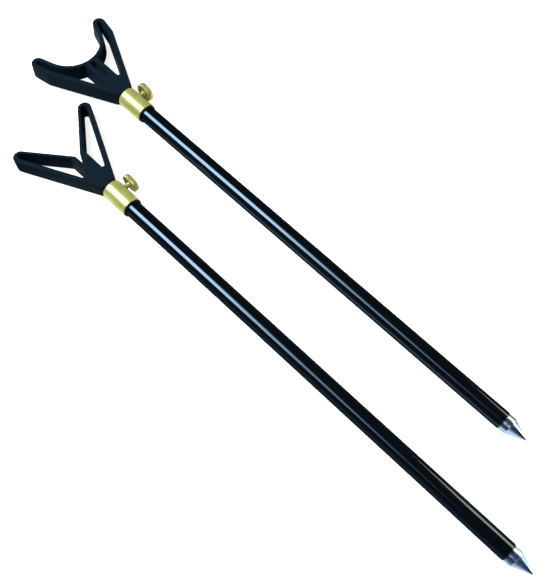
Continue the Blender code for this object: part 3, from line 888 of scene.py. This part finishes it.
def edge_rows(edge):
    """How far in and how far below the face each row lies, from the wall's middle to the flat face.

    The wall leans in by the mould's draft, then a quarter circle carries it over to the face, and one
    more row just inside keeps the face flat.
    """
    over = up_to_square(edge_points)
    bend = mould_draft + edge * (1 - np.cos(over))
    inset = np.concatenate([[0, mould_draft / 2], bend, [mould_draft + edge * face_margin]])
    drop = np.concatenate([[head_depth / 2, head_depth / 4], edge * (1 - np.sin(over)), [0]])
    return inset, drop


def face_height(points, drop):
    """Half the thickness at a point: the flat face less the edge's drop, blended into the hub's cone.

    The cone's radius grows with the distance along, and its height over a point is the side of the
    right triangle that this radius makes with the distance across, its square kept above zero. The
    lesser of the two holds, and a quadratic blend rounds the crease between them.
    """
    plate = head_depth / 2 - drop
    radius = hub_radius + hub_flare * (points[..., 1] - seat_gap)
    cone = np.sqrt(np.maximum(radius ** 2 - points[..., 0] ** 2, least_square))
    share = np.clip(0.5 + 0.5 * (cone - plate) / hub_blend, 0, 1)
    return cone * (1 - share) + plate * share - hub_blend * share * (1 - share)


def lay_flat(flat, height):
    """Points of an outline and their heights, as points across, along and above."""
    return np.stack([flat[..., 0], flat[..., 1], height], axis=-1)


def wall_rows(line, edge, closed):
    """The rows of a wall's upper half: its line moved inwards by each inset, at each row's height.

    The first row lies in the wall's middle, at no height. An open line's ends slide along their own
    runs back to the hub's seat.
    """
    inset, drop = edge_rows(edge)
    flat = line[None] + inward(line, closed)[None] * inset[:, None, None]
    if not closed:
        for end, step in ((0, 1), (-1, -2)):
            run = line[step] - line[end]
            flat[:, end] = flat[:, end] - run * ((flat[:, end, 1] - seat_gap) / run[1])[:, None]
    return lay_flat(flat, face_height(flat, drop[:, None]) * (drop[:, None] < head_depth / 2))


def both_halves(upper):
    """The rows of a wall from the lower face up to the upper one."""
    return np.concatenate([upper[:0:-1] * to_lower, upper])


def notch_share(line):
    """How much each point of an outline leans: all on the notch's side, none on the flanks.

    It is the part of the inward normal that points away from the middle, and between the horns also
    the part that points down to the hub.
    """
    normal = inward(line, False)
    between = np.clip((notch_reach - np.abs(line[:, 0])) / notch_fade, 0, 1)
    return np.clip(normal[:, 0] * np.sign(line[:, 0]) - normal[:, 1] * between, 0, 1)


def leaning(wall, line, closed):
    """A wall that leans one way: each point leaves the material by draft times its depth in the head."""
    share = 1 if closed else notch_share(line)
    depth = 0.5 - wall[..., 2] / head_depth
    wall[..., :2] -= inward(line, closed) * (window_draft * share * depth)[..., None]
    return wall


def inside(spots, starts, ends):
    """Whether a line to the right from each spot crosses the loops' edges an odd number of times."""
    rise = ends[:, 1] - starts[:, 1]
    share = (spots[:, None, 1] - starts[:, 1]) / np.where(rise == 0, 1, rise)
    at = starts[:, 0] + share * (ends - starts)[:, 0]
    crosses = (starts[:, 1] > spots[:, None, 1]) != (ends[:, 1] > spots[:, None, 1])
    return (crosses & (at > spots[:, None, 0])).sum(axis=1) % 2 == 1


def filled(loops, spots=np.empty((0, 2))):
    """Delaunay triangles through loops and spots, kept inside the outer loop and outside the others."""
    lengths = [len(loop) for loop in loops]
    index = np.split(np.arange(sum(lengths)), np.cumsum(lengths)[:-1])
    edges = np.concatenate([np.column_stack([run, np.roll(run, -1)]) for run in index])
    points = np.vstack([*loops, spots])
    made, _, faces, _, _, _ = geometry.delaunay_2d_cdt(points.tolist(), edges.tolist(), [], 0, same_place)
    made, faces = np.array(made), np.array(faces)
    return made, faces[inside(made[faces].mean(axis=1), points[edges[:, 0]], points[edges[:, 1]])]


def hub_spots(rim):
    """Places for the upper or lower face over the hub, on a square grid and clear of its outline."""
    across, along = np.meshgrid(np.arange(-spot_reach, spot_reach + spot_step / 2, spot_step),
                                np.arange(seat_gap + spot_step, hub_reach, spot_step))
    spots = np.column_stack([across.ravel(), along.ravel()])
    past_hub = np.argmax(rim[:, 1] > hub_reach)
    reach = np.interp(spots[:, 1], *rim[:past_hub + 1, ::-1].T)
    return spots[np.abs(spots[:, 0]) < reach - hub_run]


def stud_hole():
    """The moulded hole round the stud and its flange, turned from the stud's profile and a clearance."""
    stud, flange = stud_radius + seat_gap, stud_flange_radius + seat_gap
    low, high = stud_flange_low - seat_gap, stud_flange_high + seat_gap
    end = stud_length + seat_gap
    profile = [
        (stud, seat_gap), (stud, low), (flange, low), (flange, high), (stud, high), (stud, end), (0, end),
    ]
    return lathe(profile, plug_sides)


def moulded_head(outline, window, pocket=None):
    """A head's patches: walls round the outline and windows, both faces, the hub's seat and its hole."""
    outline = subdivided(outline, False, longest_run)
    right = subdivided(window, True, longest_run)[::-1]
    left = (right * (-1, 1))[::-1]
    flank = wall_rows(outline, outer_edge, closed=False)
    seat = np.linspace(flank[-1, -1, :2], flank[-1, 0, :2], seat_points)[1:-1]
    walls = [(outline, outer_edge, False), (right, window_edge, True), (left, window_edge, True)]
    patches = []
    rims = {1: [], -1: []}
    for line, edge, closed in walls:
        wall = leaning(both_halves(wall_rows(line, edge, closed)), line, closed)
        patches.append(grid(wall, wrap_columns=closed))
        for sign, row in ((1, wall[-1]), (-1, wall[0])):
            rims[sign].append(row[:, :2] if closed else np.vstack([row[:, :2], seat]))
    # The upper and the lower face, each between the rims of its walls.
    for sign in (1, -1):
        holes = [pocket[0][-1]] if pocket and sign > 0 else []
        points, faces = filled(rims[sign] + holes, hub_spots(flank[-1, :, :2]))
        patches.append((lay_flat(points, sign * face_height(points, 0)), faces))
    # The pocket's wall and floor, in the upper face alone.
    if pocket:
        inner, height, floor = pocket
        patches.append(grid(lay_flat(inner, height)))
        points, faces = filled([inner[0]])
        patches.append((lay_flat(points, np.full(len(points), floor)), faces))
    # The stud's hole and the flat seat round it, whose edge is the hub's outline.
    hole = stud_hole()
    patches.append(grid(hole))
    base = both_halves(flank)
    top = lay_flat(seat, face_height(seat, 0))
    edge = np.concatenate([base[:, 0], top[::-1], base[::-1, -1], top * to_lower])
    points, faces = filled([edge[:, (0, 2)], hole[0][:, (0, 2)]])
    patches.append((np.column_stack([points[:, 0], np.full(len(points), seat_gap), points[:, 1]]), faces))
    return patches


def mirrored(half):
    """A whole outline, base corner to base corner, from its half on the +X side."""
    half = np.asarray(half)
    left = half[::-1] * (-1, 1)
    return np.vstack([half, left[np.abs(left[:, 0]) > same_place]])


v_base_width = 0.0145
v_outer_taper = 0.490
v_tip = np.array([0.0378, 0.0781])
v_tip_radius = 0.0065
v_notch_height = 0.0403
v_notch_taper = 0.787
v_kink_radius = 0.0016
v_slot_width = 0.0047
v_slot_bottom = 0.0304
v_spine_width = 0.0142
v_window_bottom = 0.0178
v_outer_wall = 0.0050
v_notch_wall = 0.0031
v_window_tip = np.array([0.0368, 0.0781])
v_window_tip_radius = 0.0029
window_corner = 0.0012

v_base = np.array([v_base_width / 2, seat_gap])
v_slot = v_slot_width / 2
v_spine = v_spine_width / 2
v_kink = (v_slot, v_notch_height + v_slot / v_notch_taper)
over_tip = round_tip(v_tip, v_tip_radius, v_base, v_kink)
at_hub = v_base + (over_tip[0] - v_base) * hub_reach / over_tip[0, 1]
v_outline = mirrored(np.vstack([
    v_base, at_hub,
    over_tip,
    rounded(v_kink, over_tip[-1], (v_slot, v_slot_bottom), v_kink_radius),
    arc((0, v_slot_bottom + v_slot), v_slot, 0, -np.pi / 2),
]))
across_outer = v_base[0] - v_outer_wall * np.hypot(1, v_outer_taper)
across_notch = v_notch_wall * np.hypot(1, v_notch_taper)
low_outer = (across_outer + v_outer_taper * v_window_bottom, v_window_bottom)
low_spine = (v_spine, v_window_bottom)
top_spine = (v_spine, v_notch_height + (v_spine - across_notch) / v_notch_taper)
over_tip = round_tip(v_window_tip, v_window_tip_radius, low_outer, top_spine)
v_window = np.vstack([
    rounded(low_spine, top_spine, low_outer, window_corner),
    rounded(low_outer, low_spine, over_tip[0], window_corner),
    over_tip,
    rounded(top_spine, over_tip[-1], low_spine, window_corner),
])
skin("front_moulded_head", "front", moulded_head(v_outline, v_window), head_plastic,
     "front_rest_head", ["front_head"], head_crease)


# The cradle head: the same moulding with a round cradle between its horns, a shoulder on each flank
# and a narrow pocket in the upper face of its spine.

cradle_base_width = 0.0162
cradle_outer_taper = 0.504
cradle_shoulder_height = 0.0640
cradle_shoulder_radius = 0.0080
cradle_radius = 0.0288
cradle_centre = np.array([0, 0.0805])
cradle_end = np.radians(-18)
cradle_tip = np.array([0.03735, 0.0808])
cradle_tip_radius = 0.0063
cradle_spine_width = 0.0146
cradle_window_bottom = 0.0185
cradle_outer_wall = 0.0050
cradle_arc_wall = 0.0039
cradle_window_tip_radius = 0.0021
window_shoulder_height = 0.0650
window_shoulder_radius = 0.0060

cradle_base = np.array([cradle_base_width / 2, seat_gap])
cradle_spine = cradle_spine_width / 2
shoulder = (cradle_base[0] + cradle_outer_taper * cradle_shoulder_height, cradle_shoulder_height)
cradle_start = on_circle(cradle_centre, cradle_radius, cradle_end)
over_tip = round_tip(cradle_tip, cradle_tip_radius, shoulder, cradle_start)
at_hub = cradle_base + (np.array(shoulder) - cradle_base) * hub_reach / cradle_shoulder_height
cradle_outline = mirrored(np.vstack([
    cradle_base, at_hub,
    rounded(shoulder, cradle_base, over_tip[0], cradle_shoulder_radius),
    over_tip,
    arc(cradle_centre, cradle_radius, cradle_end, -np.pi / 2),
]))
across_outer = cradle_base[0] - cradle_outer_wall * np.hypot(1, cradle_outer_taper)
low_outer = (across_outer + cradle_outer_taper * cradle_window_bottom, cradle_window_bottom)
low_spine = (cradle_spine, cradle_window_bottom)
wall_radius = cradle_radius + cradle_arc_wall
spine_angle = -np.arccos(cradle_spine / wall_radius)
top_spine = on_circle(cradle_centre, wall_radius, spine_angle)
under_cradle = arc(cradle_centre, wall_radius, cradle_end, spine_angle + 2 * window_corner / wall_radius)
window_shoulder = (across_outer + cradle_outer_taper * window_shoulder_height, window_shoulder_height)
over_tip = round_tip(cradle_tip, cradle_window_tip_radius, window_shoulder, under_cradle[0])
cradle_window = np.vstack([
    rounded(low_spine, top_spine, low_outer, window_corner),
    rounded(low_outer, low_spine, window_shoulder, window_corner),
    rounded(window_shoulder, low_outer, over_tip[0], window_shoulder_radius),
    over_tip,
    under_cradle,
    rounded(top_spine, under_cradle[-1], low_spine, window_corner),
])

pocket_half = 0.0025
pocket_low = 0.0270
pocket_high = 0.0480
pocket_depth = 0.0060
pocket_edge = 0.0003
pocket_edge_points = 5
pocket_rim_margin = 1.1
pocket_end_flat = 0.0002
pocket_taper = 0.0001
pocket_run = 0.003


def blind_pocket():
    """The pocket's wall from its floor up over a small rounded rim, and its floor's height.

    Each row is the pocket's line moved out: a little inside it at the floor, and over a quarter
    circle at the rim.
    """
    bend = pocket_half - pocket_end_flat
    corners = [(pocket_half, pocket_low), (pocket_half, pocket_high),
               (-pocket_half, pocket_high), (-pocket_half, pocket_low)]
    line = subdivided(np.vstack([
        rounded(corner, corners[i - 1], corners[(i + 1) % len(corners)], bend)
        for i, corner in enumerate(corners)
    ]), True, pocket_run)
    over = up_to_square(pocket_edge_points)
    rim = [pocket_edge * pocket_rim_margin]
    grown = np.concatenate([[-pocket_taper], pocket_edge * (1 - np.cos(over)), rim])
    drop = np.concatenate([[pocket_depth], pocket_edge * (1 - np.sin(over)), [0]])
    flat = line[None] - inward(line, True)[None] * grown[:, None, None]
    height = np.broadcast_to(head_depth / 2 - drop[:, None], flat.shape[:2])
    return flat, height, head_depth / 2 - pocket_depth


skin("rear_moulded_head", "rear", moulded_head(cradle_outline, cradle_window, blind_pocket()),
     head_plastic, "rear_rest_head", ["rear_head"], head_crease)
